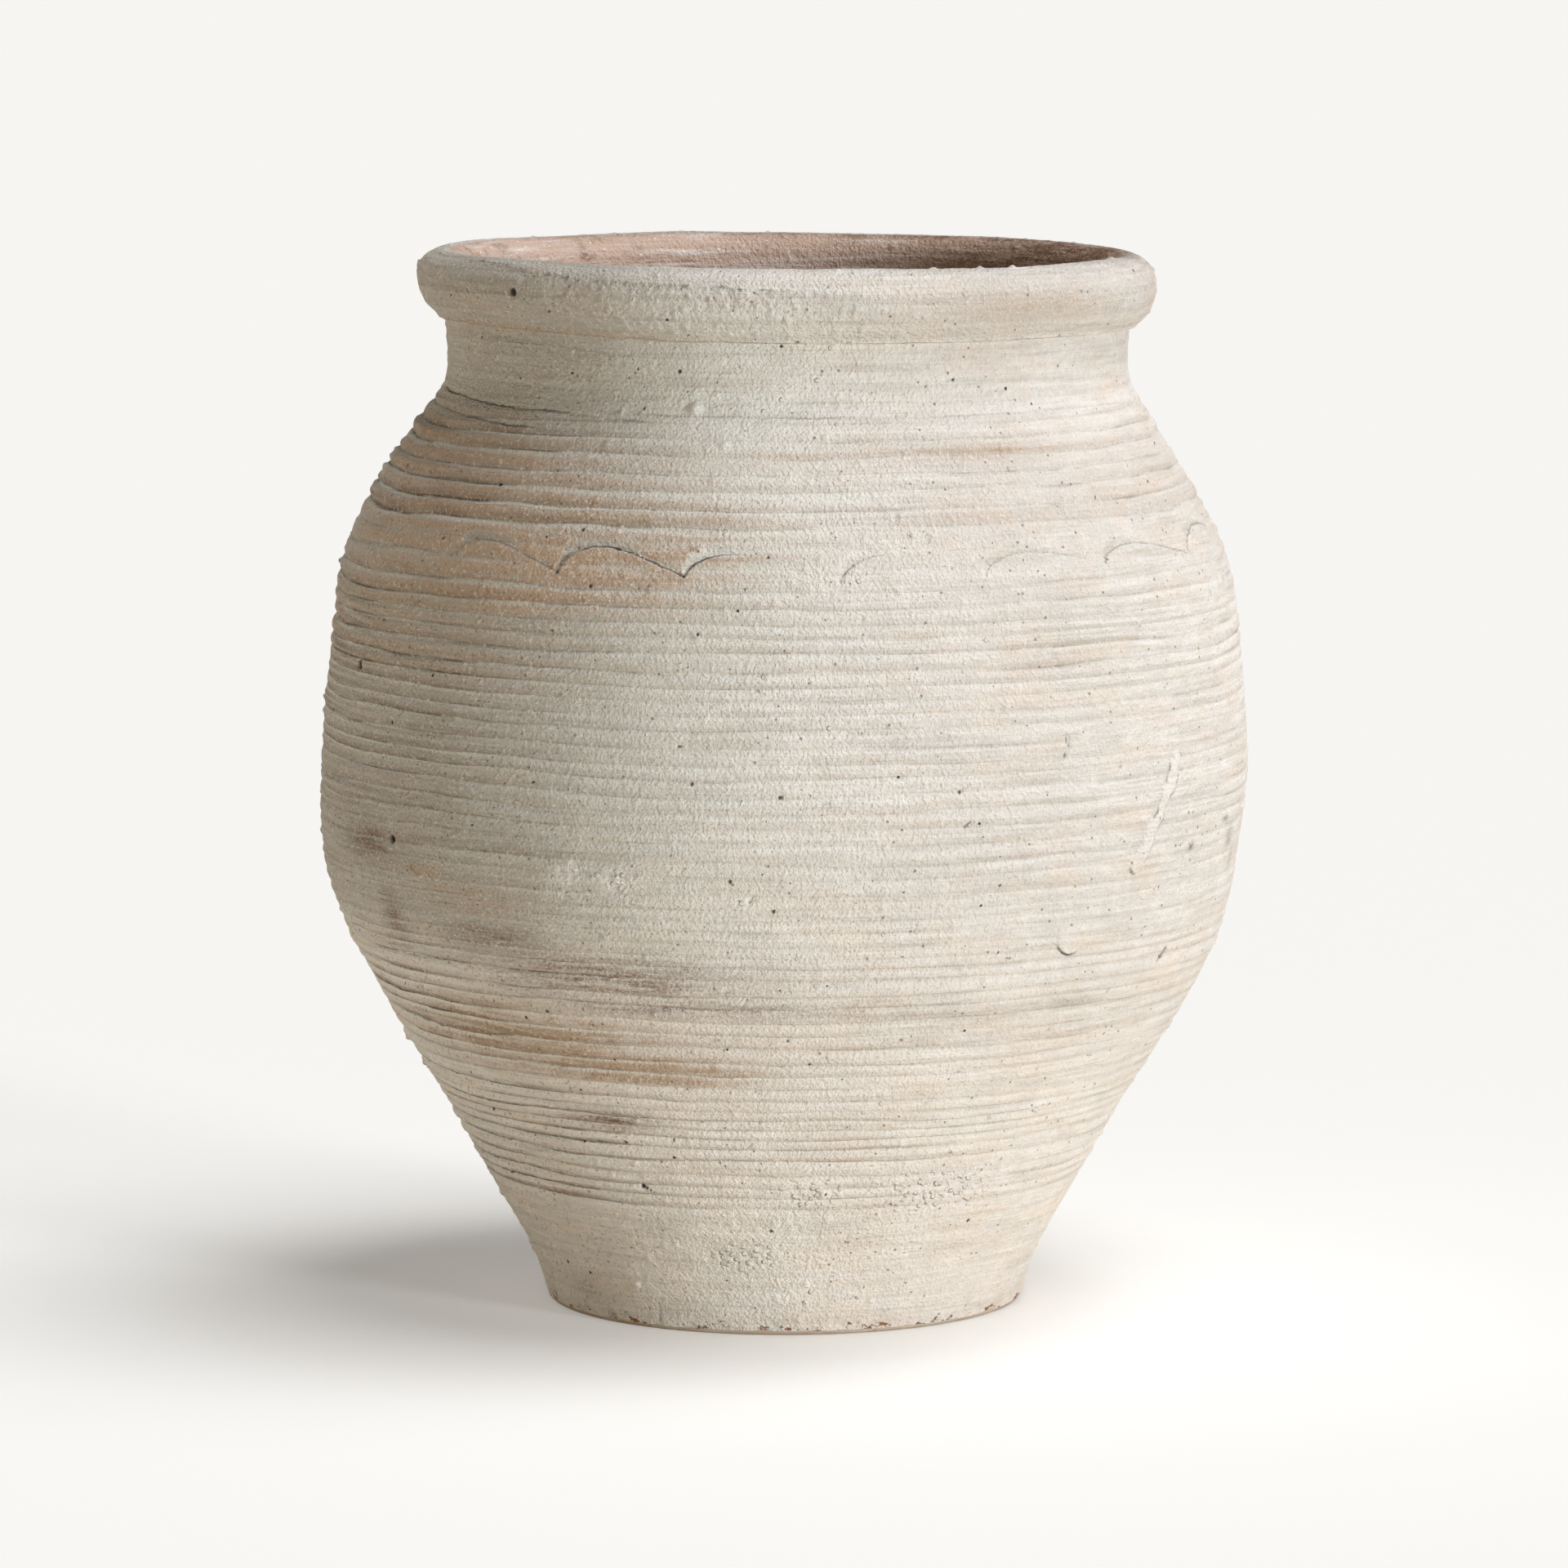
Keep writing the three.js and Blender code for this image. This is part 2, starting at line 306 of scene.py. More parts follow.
WASH_WARM = colour(248, 244, 241)
WASH_COOL_AND_HIGHLIGHT = colour(238, 240, 234)
WASH_DULL = colour(224, 219, 211)
TAN_CLAY = colour(192, 169, 148)
BROWN_STAIN_AND_SHADE = colour(120, 92, 73)
DIRT = colour(112, 93, 74)
SAND_BROWN = colour(132, 108, 84)
CREASE_DIRT = colour(82, 68, 56)
WASH_TAN = colour(243, 230, 218)
BARE_CLAY_AND_SHADE = colour(120, 95, 72)
RIDGE_DIRT_AND_SHADE = colour(92, 68, 48)
PIT_BLACK = colour(44, 38, 34)
RED_CLAY = colour(166, 108, 80)
PINK_CLAY = colour(209, 182, 167)
LIME_SPOT = colour(244, 238, 233)
SLAB_CLAY = colour(206, 196, 180)
PAPER = colour(246, 245, 241)


def by_height(pairs, height):
    """Value at a height, or an angle, from a short list of pairs with the value."""
    heights, values = zip(*pairs)
    return np.interp(height, heights, values)


def unit(values):
    """Values kept between 0 and 1."""
    return np.clip(values, 0, 1)


def bell(gap, width):
    """1 on a line, falling softly to 0 over a width."""
    return np.exp(-((gap / width) ** 2))


def cover(gap, softness):
    """1 inside an edge and 0 outside it, with a soft step."""
    return 1 / (1 + np.exp(np.clip(gap / softness, -40, 40)))


# Turn of the noise patterns that aren't stretched, so that their lattice doesn't lie along the wall.
TILT_ANGLES = (0.7, 0.5, 0.9)
TILT = np.array(Euler(TILT_ANGLES).to_matrix())

# Odd numbers that scramble the points of a lattice, and the gain that brings noise to about -1 to 1.
LATTICE_STEPS = (np.uint32(374761393), np.uint32(668265263), np.uint32(2246822519))
LAST_STEP = np.uint32(1274126177)
SEED_STEP = 3266489917
NOISE_GAIN = 1.4


def lattice_hash(x, y, z, seed):
    """A scrambled whole number for each point of a lattice."""
    mixed = x * LATTICE_STEPS[0] + y * LATTICE_STEPS[1] + z * LATTICE_STEPS[2]
    mixed = mixed + np.uint32(seed * SEED_STEP % 2**32)
    mixed = (mixed ^ (mixed >> np.uint32(13))) * LAST_STEP
    return mixed ^ (mixed >> np.uint32(16))


def noise(seed, x, y, z):
    """Smooth noise from about -1 to 1 with features one unit across."""
    x, y, z = np.broadcast_arrays(x, y, z)
    corner = [np.floor(a).astype(np.int32) for a in (x, y, z)]
    inside = [a - b for a, b in zip((x, y, z), corner)]
    fade = [t * t * t * (t * (t * 6 - 15) + 10) for t in inside]
    total = np.zeros(x.shape, np.float32)
    for step in np.ndindex(2, 2, 2):
        mixed = lattice_hash(*[(c + s).astype(np.uint32) for c, s in zip(corner, step)], seed)
        share = np.ones(x.shape, np.float32)
        slope = np.zeros(x.shape, np.float32)
        for axis, s in enumerate(step):
            share *= fade[axis] if s else 1 - fade[axis]
            lean = ((mixed >> np.uint32(8 * axis)) & np.uint32(255)) / 127.5 - 1
            slope += lean * (inside[axis] - s)
        total += share * slope
    return total * NOISE_GAIN


# What the materials read from each point, and the farthest distance from a fine line that is noted.
MARKS = ("tan", "stain_and_shade", "pit", "chip", "line", "inner", "wash", "grit", "shows", "worn", "cool")
CREASE_LIMIT = 9


class Sheet:
    """Rows of one turned surface: radius, height, outward direction and the run along its outline."""

    def __init__(self, radius, height, run=None):
        self.radius = np.asarray(radius, float)
        self.height = np.asarray(height, float)
        self.run = self.height if run is None else np.asarray(run, float)
        self.up = self.run[:, None]
        along = np.hypot(np.gradient(self.radius), np.gradient(self.height))
        self.out_radius = np.gradient(self.height) / along
        self.out_height = -np.gradient(self.radius) / along
        shape = (len(self.radius), COLUMNS)
        self.angle = np.linspace(-math.pi, math.pi, COLUMNS, endpoint=False)
        self.degrees = np.degrees(self.angle)
        self.relief = np.zeros(shape, np.float32)
        self.broad = np.zeros(shape, np.float32)
        self.turn = np.zeros(shape, np.float32)
        self.crease = np.full(shape, CREASE_LIMIT, np.float32)
        self.shift = np.zeros((2, *shape), np.float32)
        self.marks = {name: np.zeros(shape, np.float32) for name in MARKS}

    def place(self, size, stretch=1.0):
        """Points of the surface in units of size, with features stretched round the wall."""
        wide = size * stretch
        x = self.radius[:, None] * np.sin(self.angle) / wide
        y = self.radius[:, None] * np.cos(self.angle) / wide
        z = np.repeat(self.up / size, COLUMNS, axis=1)
        points = np.stack([x, y, z]).astype(np.float32)
        return points if stretch != 1 else np.tensordot(TILT, points, 1).astype(np.float32)

    def ripple(self, seed, size, stretch=1.0):
        """Smooth noise on the surface, about size tall and size times stretch wide."""
        return noise(seed, *self.place(size, stretch))

    def ripples(self, parts):
        """Sum of noises, each with its strength."""
        return sum(strength * self.ripple(*pattern) for strength, *pattern in parts)

    def patches(self, middle, swing, lowest, highest, *pattern):
        """A patchy share of the surface: noise about a middle value, kept between two limits."""
        return np.clip(middle + swing * self.ripple(*pattern), lowest, highest)

    def window(self, angle, height, reach):
        """Part of the surface round a point: its index, and millimetres across and up from the point."""
        rows = np.flatnonzero(np.abs(self.run - height) < reach)
        if not len(rows):
            return None
        radius = self.radius[rows].mean()
        step = 2 * math.pi / COLUMNS
        half = min(int(reach / radius / step) + 1, COLUMNS // 2 - 1)
        columns = round((math.radians(angle) + math.pi) / step) + np.arange(-half, half + 1)
        across = (columns * step - math.pi - math.radians(angle)) * radius
        return np.ix_(rows, columns % COLUMNS), across[None, :], (self.run[rows] - height)[:, None]

    def draw(self, index, gap, strength):
        """Notes a fine line for the material: millimetres from it, and how plainly it shows."""
        strength = np.broadcast_to(strength, gap.shape)
        closer = (np.abs(gap) < np.abs(self.crease[index])) & (strength > 0.02)
        self.crease[index] = np.where(closer, np.clip(gap, -CREASE_LIMIT, CREASE_LIMIT), self.crease[index])
        shown = strength * unit(2 - np.abs(gap))
        self.marks["shows"][index] = np.where(closer, shown, self.marks["shows"][index])

    def tint(self, tints, mark):
        """Adds soft patches to a mark."""
        for angle, height, half_angle, half_height, strength in tints:
            turn = (self.degrees - angle + 180) % 360 - 180
            spread = (turn / half_angle) ** 2 + ((self.up - height) / half_height) ** 2
            self.marks[mark] += strength * np.exp(-spread)


def wall_at(lower, upper, height):
    """Outside radius and lean between two joints: a cubic that meets both."""
    rise = upper[0] - lower[0]
    t = (height - lower[0]) / rise
    s = 1 - t
    radius = lower[1] * s * s * (1 + 2 * t) + upper[1] * t * t * (1 + 2 * s)
    radius = radius + rise * s * t * (lower[2] * s - upper[2] * t)
    lean = 6 * s * t * (upper[1] - lower[1]) / rise
    lean = lean + lower[2] * s * (s - 2 * t) + upper[2] * t * (t - 2 * s)
    return radius, lean


def outside_sheet(lower, upper):
    """Outside of a thrown ring, from its lower joint to its upper one."""
    steps = round(math.hypot(upper[0] - lower[0], upper[1] - lower[1]) / ROW_STEP)
    height = np.linspace(lower[0], upper[0], steps + 1)
    return Sheet(wall_at(lower, upper, height)[0], height)


def inside_sheet(lower, upper):
    """Inside of a thrown ring, from its upper joint down to its lower one."""
    steps = max(4, round((upper[0] - lower[0]) / INSIDE_ROW_STEP))
    height = np.linspace(upper[0], lower[0], steps + 1)
    radius, lean = wall_at(lower, upper, height)
    return Sheet(radius - WALL_THICKNESS * np.hypot(1, lean), height)


def even_outline(points, step):
    """Points at an even step along an outline, with its corners eased."""
    points = np.asarray(points, float)
    along = np.concatenate(([0], np.cumsum(np.hypot(*np.diff(points, axis=0).T))))
    run = np.linspace(0, along[-1], round(along[-1] / step) + 1)
    even = np.stack([np.interp(run, along, points[:, axis]) for axis in (0, 1)])
    for _ in range(2):
        even[:, 1:-1] = (even[:, :-2] + 2 * even[:, 1:-1] + even[:, 2:]) / 4
    return even[0], even[1], run


def rim_outline(roll):
    """Outline of the rim: up from the neck, round the roll, over the crest and down inside the mouth."""
    bottom, neck, _ = RIM_JOINT
    angles = np.radians(np.linspace(roll["lowest_angle"], 180, CURVE_STEPS))
    reach = np.where(np.cos(angles) > 0, ROLL_OVERHANG, WALL_THICKNESS)
    rise = np.where(np.sin(angles) > 0, CREST_HEIGHT - roll["middle"], roll["drop"])
    curve = np.stack([neck + reach * np.cos(angles), roll["middle"] + rise * np.sin(angles)], axis=1)
    points = [(neck, bottom), (neck, bottom + roll["groove"]), *curve, (neck - WALL_THICKNESS, bottom)]
    return even_outline(points, ROW_STEP)


def rim_sheet():
    """The rim: a crisp bevel under the roll at the left, turning into a full round at the right."""
    radius, height, run = rim_outline(LEFT_ROLL)
    full_radius, full_height, full_run = rim_outline(RIGHT_ROLL)
    share = full_run / full_run[-1] * run[-1]
    sheet = Sheet(radius, height, RIM_JOINT[0] + run)
    right = (1 + np.sin(sheet.angle)) / 2
    sheet.shift[0] = (np.interp(run, share, full_radius) - radius)[:, None] * right
    sheet.shift[1] = (np.interp(run, share, full_height) - height)[:, None] * right
    lift = RIM_LIFT["all"] + RIM_LIFT["right"] * np.sin(sheet.angle)
    lift = lift + RIM_LIFT["front"] * np.cos(sheet.angle)
    sheet.shift[1] += unit((height - RIM_JOINT[0]) / RIM_LIFT_REACH)[:, None] * lift
    return sheet


def slab_sheet():
    """The base slab in one sheet: from under its middle, round its edge and over the floor of the vase."""
    edge = LEDGE[1] - SLAB_EDGE_INSET + FOOT_FLARE
    edge_top = LEDGE[0] - FOOT_SMEAR
    plug = LEDGE[1] - WALL_THICKNESS * math.hypot(1, LEDGE[2]) - SLIP_GAP
    floor = LEDGE[0] + SLAB_FLOOR_HEIGHT
    points = [
        (SLAB_MIDDLE_RADIUS, 0), (edge - SLAB_EDGE_ROUND, 0), (edge, SLAB_EDGE_ROUND), (edge, edge_top),
        (plug, LEDGE[0]), (plug, floor), (SLAB_MIDDLE_RADIUS, floor),
    ]
    rows = []
    for start, end in zip(points, points[1:]):
        steps = max(2, round(math.dist(start, end) / SLAB_ROW_STEP))
        rows += [np.array(start) + (np.array(end) - start) * i / steps for i in range(steps)]
    radius, height = np.array(rows + [points[-1]]).T
    sheet = Sheet(radius, height)
    edge_rows = (sheet.radius > edge - 0.1) & (sheet.height < edge_top - 0.1)
    chipped = unit(sheet.ripples(SLAB_CHIPS))
    sheet.relief -= SLAB_CHIP_DEPTH * edge_rows[:, None] * chipped
    return sheet


def throw_ridges(sheet):
    """Throwing ridges, rounded between creases, that wander; each has its own width and strength."""
    heights = np.arange(TOP_HEIGHT + 1.0)
    rng = np.random.default_rng(5)
    widths = rng.uniform(*WIDTH_RANGE, WIDTH_STEPS)
    uneven = np.interp(heights, np.arange(WIDTH_STEPS) * WIDTH_STEP, widths)
    turns = np.cumsum(uneven / by_height(RIDGE_PITCHES, heights))
    sheet.turn[:] = np.interp(sheet.run, heights, turns)[:, None] + sheet.ripples(RIDGE_WANDER)
    turn = np.floor(sheet.turn)
    part = sheet.turn - turn
    strength = 0.3 + 1.1 * rng.random(STRENGTH_COUNT)[turn.astype(int) % STRENGTH_COUNT]
    strength = strength * sheet.patches(*RIDGE_PATCHES)
    worn = sheet.marks["worn"]
    worn += np.clip(by_height(WEAR_AND_SHADE_BY_ANGLE, sheet.degrees) + 0.2 * sheet.ripple(*WORN_CLOUDS), 0.1, 1.1)
    ridges = by_height(RIDGE_HEIGHTS, sheet.up) * (0.5 + 0.5 * worn)
    sheet.relief += ridges * strength * (np.sin(math.pi * part**0.85) ** (0.35 + 0.65 * worn) - 0.5)
    fine = np.sin(2 * math.pi * (sheet.up / FINE_PITCH + 0.8 * sheet.ripple(*FINE_WANDER)))
    sheet.relief += FINE_SHARE * ridges * fine * sheet.patches(*FINE_PATCHES)
    shows = sheet.patches(*LINE_PATCHES)
    # The line mark paints the ridges' creases, lower faces and tops; scaled by worn, this painted shade and
    # highlight is strongest on the shaded left.
    sheet.marks["line"] += by_height(LINE_SHOWS, sheet.up) * shows * worn


def wipe_and_grain(sheet):
    """Slow dents of the hand, fine wiping lines, and sand in the clay."""
    sheet.broad += sheet.ripples(HAND_DENTS)
    sheet.relief += sheet.ripples(WIPING_LINES)
    sheet.relief += sheet.patches(*SANDY_PATCHES) * sheet.ripples(SAND)


def add_lump(sheet, angle, height, radius, rise):
    """A round lump, or with a negative rise a round pit."""
    part = sheet.window(angle, height, 2.5 * radius)
    if part is None:
        return
    index, across, up = part
    mound = np.exp(-((across**2 + up**2) / radius**2) ** 1.5)
    sheet.relief[index] += rise * mound
    if rise < 0:
        sheet.marks["pit"][index] = np.maximum(sheet.marks["pit"][index], mound)


def scatter_lumps(sheet):
    """Small lumps and pits all over the wall."""
    rng = np.random.default_rng(31)
    for _ in range(LUMP_COUNT):
        place = rng.uniform(-180, 180), rng.uniform(*STREWN_HEIGHTS)
        add_lump(sheet, *place, rng.uniform(*LUMP_SIZES), 0.35 + rng.random() ** 3)
    for _ in range(PIT_COUNT):
        place = rng.uniform(-180, 180), rng.uniform(*STREWN_HEIGHTS)
        add_lump(sheet, *place, rng.uniform(*PIT_SIZES), -rng.uniform(*PIT_DEPTHS))


def all_scallops():
    """The scallops on the front as seen, and even ones of the same kind round the back."""
    rng = np.random.default_rng(41)
    first, last = FRONT_SCALLOPS[0][0], FRONT_SCALLOPS[-1][0]
    unseen = SCALLOP_COUNT - len(FRONT_SCALLOPS)
    step = (360 - (last - first)) / (unseen + 1)
    rest = []
    for i in range(unseen):
        rest.append((last + step * (i + 1), *[rng.uniform(*limits) for limits in BACK_SCALLOPS]))
    worn = [(*scallop[:3], 0.1 * scallop[3], 0.3) for scallop in rest[-WORN_SCALLOPS:]]
    return [*FRONT_SCALLOPS, *rest[:-WORN_SCALLOPS], *worn]


def incise_scallops(sheet):
    """Arches cut with a nail: deep and wide where each begins, fading to a line where the next starts."""
    scallops = all_scallops()
    ends = [*scallops[1:], (scallops[0][0] + 360, *scallops[0][1:])]
    broken = sheet.patches(*SCALLOP_PATCHES)
    t = np.linspace(0, 1, CURVE_STEPS)
    for (angle, height, rise, depth, reach), (next_angle, next_height, *_) in zip(scallops, ends):
        part = sheet.window((angle + next_angle) / 2, height + rise / 2, SCALLOP_REACH)
        if part is None:
            continue
        index, across, up = part
        radius = sheet.radius[index[0].ravel()].mean()
        span = math.radians(next_angle - angle) * radius
        arch_across = (t - 0.5) * span
        arch_up = (next_height - height) * t - rise / 2 + rise * np.sin(math.pi * t**SCALLOP_PEAK_POWER)
        gap = np.hypot(across[..., None] - arch_across, up[..., None] - arch_up)
        along = t[gap.argmin(axis=-1)]
        gap = gap.min(axis=-1)
        above = (up > np.interp(across, arch_across, arch_up)) | (across < arch_across[0])
        fade = unit((reach - along) / 0.25 + 0.5)
        width = SCALLOP_WIDTH * (1 - along) ** 1.5 * np.clip(along / 0.07, 0.1, 1) + 0.8
        cut = depth * fade * (0.16 + 0.84 * (1 - along) ** 1.8)
        groove = np.where(above, unit(1 - gap / width) ** 0.8, bell(gap, 0.6))
        burr = 0.22 * depth * fade * np.exp(-((gap - 1.8) ** 2) / 1.5)
        sheet.relief[index] -= 1.4 * cut * groove
        sheet.relief[index] += np.where(above, 0, burr)
        sheet.marks["tan"][index] -= 1.6 * groove * unit(depth) * fade
        plain = unit(1.1 * depth - 0.75) * fade * broken[index]
        sheet.draw(index, np.where(above, gap, -gap), plain)
        sheet.marks["line"][index] *= 1 - bell(gap, 9)


def run_slip(sheet):
    """A run of slip down the wall, with a bead at its end, that covers the ridges."""
    middle = [(a + b) / 2 for a, b in zip(SLIP_RUN_TOP, SLIP_RUN_END)]
    part = sheet.window(*middle, SLIP_RUN_REACH)
    if part is None:
        return
    index, across, up = part
    half_across = math.radians(SLIP_RUN_TOP[0] - SLIP_RUN_END[0]) * sheet.radius.mean() / 2
    half_up = (SLIP_RUN_TOP[1] - SLIP_RUN_END[1]) / 2
    length = math.hypot(half_across, half_up)
    along = (across * half_across + up * half_up) / length
    aside = (across * half_up - up * half_across) / length
    aside = aside + 0.7 * np.sin(along * 0.35) + 0.4 * np.sin(along * 0.9 + 1)
    width = SLIP_RUN_HALF_WIDTH * (1 - 0.22 * np.sin(along * 0.21 + 2))
    strip = np.maximum(np.abs(aside) - width, np.abs(along) - length)
    bead = np.hypot(aside + 0.5, (along + length) * 0.8) - SLIP_BEAD_RADIUS
    gap = np.minimum(strip, bead)
    covered = cover(gap, 0.4)
    sheet.relief[index] *= 1 - 0.7 * covered
    sheet.relief[index] += 0.8 * covered + 0.4 * bell(bead + 1.4, 1.0)
    sheet.relief[index] -= 0.3 * bell(gap - 1.0, 0.8)
    sheet.marks["line"][index] *= 1 - covered
    sheet.marks["wash"][index] += 0.05 * covered
    sheet.draw(index, gap, 0.6 * sheet.patches(*SLIP_PATCHES)[index])


def press_dab(sheet):
    """A dab of clay pressed on: flat, with a sharp edge at its lower left."""
    angle, height, size = DAB
    part = sheet.window(angle, height, 2 * size)
    if part is None:
        return
    index, across, up = part
    gap = np.hypot(across, up) - size
    towards_edge = (-0.35 * across - 0.94 * up) / size
    covered = cover(gap, 0.35)
    sheet.relief[index] += np.clip(0.45 + 0.45 * towards_edge, 0.1, 1) * covered
    sheet.marks["line"][index] *= 1 - 0.8 * covered
    sheet.draw(index, gap, 0.9 * unit(3 * towards_edge - 1.9) + 0.05)


def cut_slits(sheet):
    """Short dark cracks."""
    for angle, height, lean, half_length, plain in SLITS:
        part = sheet.window(angle, height, half_length + 8)
        if part is None:
            continue
        index, across, up = part
        length = math.hypot(lean, half_length)
        along = np.clip((across * lean + up * half_length) / length, -length, length)
        gap = np.hypot(across - along * lean / length, up - along * half_length / length)
        sheet.relief[index] -= 0.7 * plain * bell(gap, 0.6)
        sheet.draw(index, gap, plain)


def roughen(sheet):
    """Patches where coarse grit stands out of the wash."""
    grit = sheet.ripples(GRIT)
    for angle, height, half_width, half_height in ROUGH_PATCHES:
        part = sheet.window(angle, height, 1.6 * max(half_width, half_height))
        if part is None:
            continue
        index, across, up = part
        ragged = 1 + 0.7 * grit[index]
        share = np.exp(-(((across / half_width) ** 2 + (up / half_height) ** 2) * ragged) ** 2)
        sheet.relief[index] += 1.3 * share * np.clip(grit[index] + 0.1, -0.2, 1)
        sheet.marks["grit"][index] = np.maximum(sheet.marks["grit"][index], share)


def front_marks(sheet):
    """The lump on the neck, the dark pits and the nick."""
    add_lump(sheet, *NECK_LUMP, NECK_LUMP_RISE)
    for angle, height, size in DARK_PITS:
        add_lump(sheet, angle, height, 1.9 * size, 0.3 * size)
        add_lump(sheet, angle, height, size, -0.8 * size)
    angle, height, size = NICK
    for step in range(4):
        place = angle + 0.7 * step, height - 0.7 * step
        add_lump(sheet, *place, size * (0.9 - 0.2 * step), -1.6 + 0.3 * step)


def neck_seam(sheet):
    """The seam where the neck is luted on: fine ragged creases, plainest at the left."""
    wander = sheet.ripples(SEAM_WANDER)
    broken = sheet.patches(*SEAM_PATCHES)
    for *points, plain in SEAM_LINES:
        angles, heights = zip(*points)
        ends = np.minimum(sheet.degrees - angles[0], angles[-1] - sheet.degrees)
        shows = plain * unit(ends / 5) * broken
        gap = sheet.up - np.interp(sheet.degrees, angles, heights) - wander
        sheet.relief -= 0.5 * shows * bell(gap, 0.9)
        sheet.draw(np.s_[:, :], gap, shows)


def fold_rim(sheet):
    """The ragged edge where the rim's clay was folded over, at the left of the roll and its front."""
    turn = sheet.degrees
    angles, heights = zip(*FOLD_PATH)
    shows = unit((turn - angles[0]) / 25) * unit((angles[-1] - turn) / 30)
    outer = slice(0, np.argmax(sheet.height) + 1)
    path = np.interp(np.interp(turn, angles, heights), sheet.height[outer], sheet.run[outer])
    gap = sheet.up - path - sheet.ripples(FOLD_WANDER)
    band = np.exp(-((np.clip(-gap, 0, None) / 3.2) ** 1.5)) * unit(0.8 - gap)
    scratch = sheet.ripples(FOLD_SCRATCHES)
    ledge = unit(gap / 1.4 + 0.5) * np.exp(-np.clip(gap, 0, None) / 6)
    sheet.relief += shows * (0.6 * ledge + 0.9 * band * scratch)
    dark = shows * band * unit(2.0 * scratch + 0.1)
    sheet.marks["pit"] = np.maximum(sheet.marks["pit"], 0.72 * dark)
    sheet.draw(np.s_[:, :], gap, 0.6 * shows * sheet.patches(*FOLD_PATCHES))


def shape_rim(sheet):
    """The rim waves a little, a lip runs along its bevel, and small lumps stand on its front."""
    fade_in = unit((sheet.up - RIM_JOINT[0]) / 12)
    sheet.broad += fade_in * 0.5 * sheet.ripple(*RIM_WAVES)
    gap = sheet.up - by_height(LIP_PATH, sheet.degrees) - 0.5 * sheet.ripple(*LIP_WANDER)
    lip = sheet.patches(*LIP_PATCHES)
    sheet.relief += 1.3 * lip * bell(gap, 1.1)
    sheet.draw(np.s_[:, :], gap + 1.7, 0.55 * lip)
    rng = np.random.default_rng(82)
    for _ in range(RIM_LUMP_COUNT):
        place = rng.normal(RIM_LUMP_ANGLE, RIM_LUMP_SPREAD), rng.uniform(*RIM_LUMP_HEIGHTS)
        add_lump(sheet, *place, rng.uniform(*RIM_LUMP_SIZES), rng.uniform(*RIM_LUMP_RISES))


def chip_foot(sheet):
    """The foot spreads a little at its edge, which is smeared down over the slab and worn."""
    up = sheet.up - LEDGE[0]
    sheet.shift[1] -= FOOT_SMEAR * unit(1 - up / FOOT_SMEAR_REACH)
    sheet.broad += FOOT_FLARE * bell(up, FOOT_FLARE_REACH)
    low = unit(1 - up / FOOT_CHIP_REACH)
    sheet.marks["chip"] += low
    sheet.relief -= FOOT_CHIP_DEPTH * low * unit(sheet.ripples(FOOT_CHIPS))


def dress_outside(sheet):
    """All the relief and tints of an outside wall."""
    throw_ridges(sheet)
    wipe_and_grain(sheet)
    scatter_lumps(sheet)
    roughen(sheet)
    front_marks(sheet)
    neck_seam(sheet)
    incise_scallops(sheet)
    run_slip(sheet)
    press_dab(sheet)
    cut_slits(sheet)
    chip_foot(sheet)
    # The wash mark holds painted light and shade besides the wash's own tone: lighter low down and at the
    # front, darker on the lit right, and darker on the upper left, partly dirt.
    sheet.marks["wash"] += by_height(WASH_AND_LIGHT_BY_HEIGHT, sheet.up)
    sheet.tint(PAINTED_LIGHT_TINTS, "wash")
    # Darker wash on the upper left: partly dirt, partly painted shade.
    dirt_and_shade = 1 - by_height(DIRT_AND_SHADE_BY_ANGLE, sheet.degrees)
    sheet.marks["wash"] *= 1 - by_height(DIRT_AND_SHADE_HEIGHTS, sheet.up) * dirt_and_shade
    sheet.tint(COOL_TINTS, "cool")
    sheet.tint(TAN_TINTS, "tan")
    sheet.tint(STAINS_AND_SHADE, "stain_and_shade")
    return sheet


def dress_inside(sheet):
    """Finger ridges on the inside of a wall, smooth where it meets the slab and the rim."""
    floor = LEDGE[0] + SLAB_FLOOR_HEIGHT
    ends = (floor + 2, floor + 16, RIM_JOINT[0] - 12, RIM_JOINT[0])
    share = np.interp(sheet.run, ends, (0, 1, 1, 0))[:, None]
    phase = sheet.up / FINGER_PITCH + 0.3 * sheet.ripple(*FINGER_WANDER)
    ridges = FINGER_HEIGHT * np.sin(2 * math.pi * phase)
    sheet.relief += share * (ridges + 0.5 * sheet.ripple(*FINGER_DENTS))
    sheet.marks["inner"] += 1
    return sheet


def dress_rim(sheet):
    """The rim: washed outside, bare pink clay past the crest."""
    dress_outside(sheet)
    shape_rim(sheet)
    fold_rim(sheet)
    crest = sheet.run[np.argmax(sheet.height)]
    past = (sheet.up - crest - 1) / 4 + 0.6 * sheet.ripple(*BARE_EDGE)
    sheet.marks["inner"] += unit(past)
    taper = unit((sheet.run[-1] - sheet.up) / 10)
    sheet.relief *= taper
    sheet.broad *= taper
    return sheet


def piece_points(sheets):
    """Points of stacked sheets in metres, row after row."""
    points = []
    for sheet in sheets:
        out = sheet.relief + sheet.broad
        radius = sheet.radius[:, None] + sheet.out_radius[:, None] * out + sheet.shift[0]
        height = sheet.height[:, None] + sheet.out_height[:, None] * out + sheet.shift[1]
        x = radius * np.sin(sheet.angle) + by_height(DRIFT, height)
        y = -radius * np.cos(sheet.angle)
        points.append(np.stack([x, y, height], axis=-1))
    return np.concatenate(points) * MM


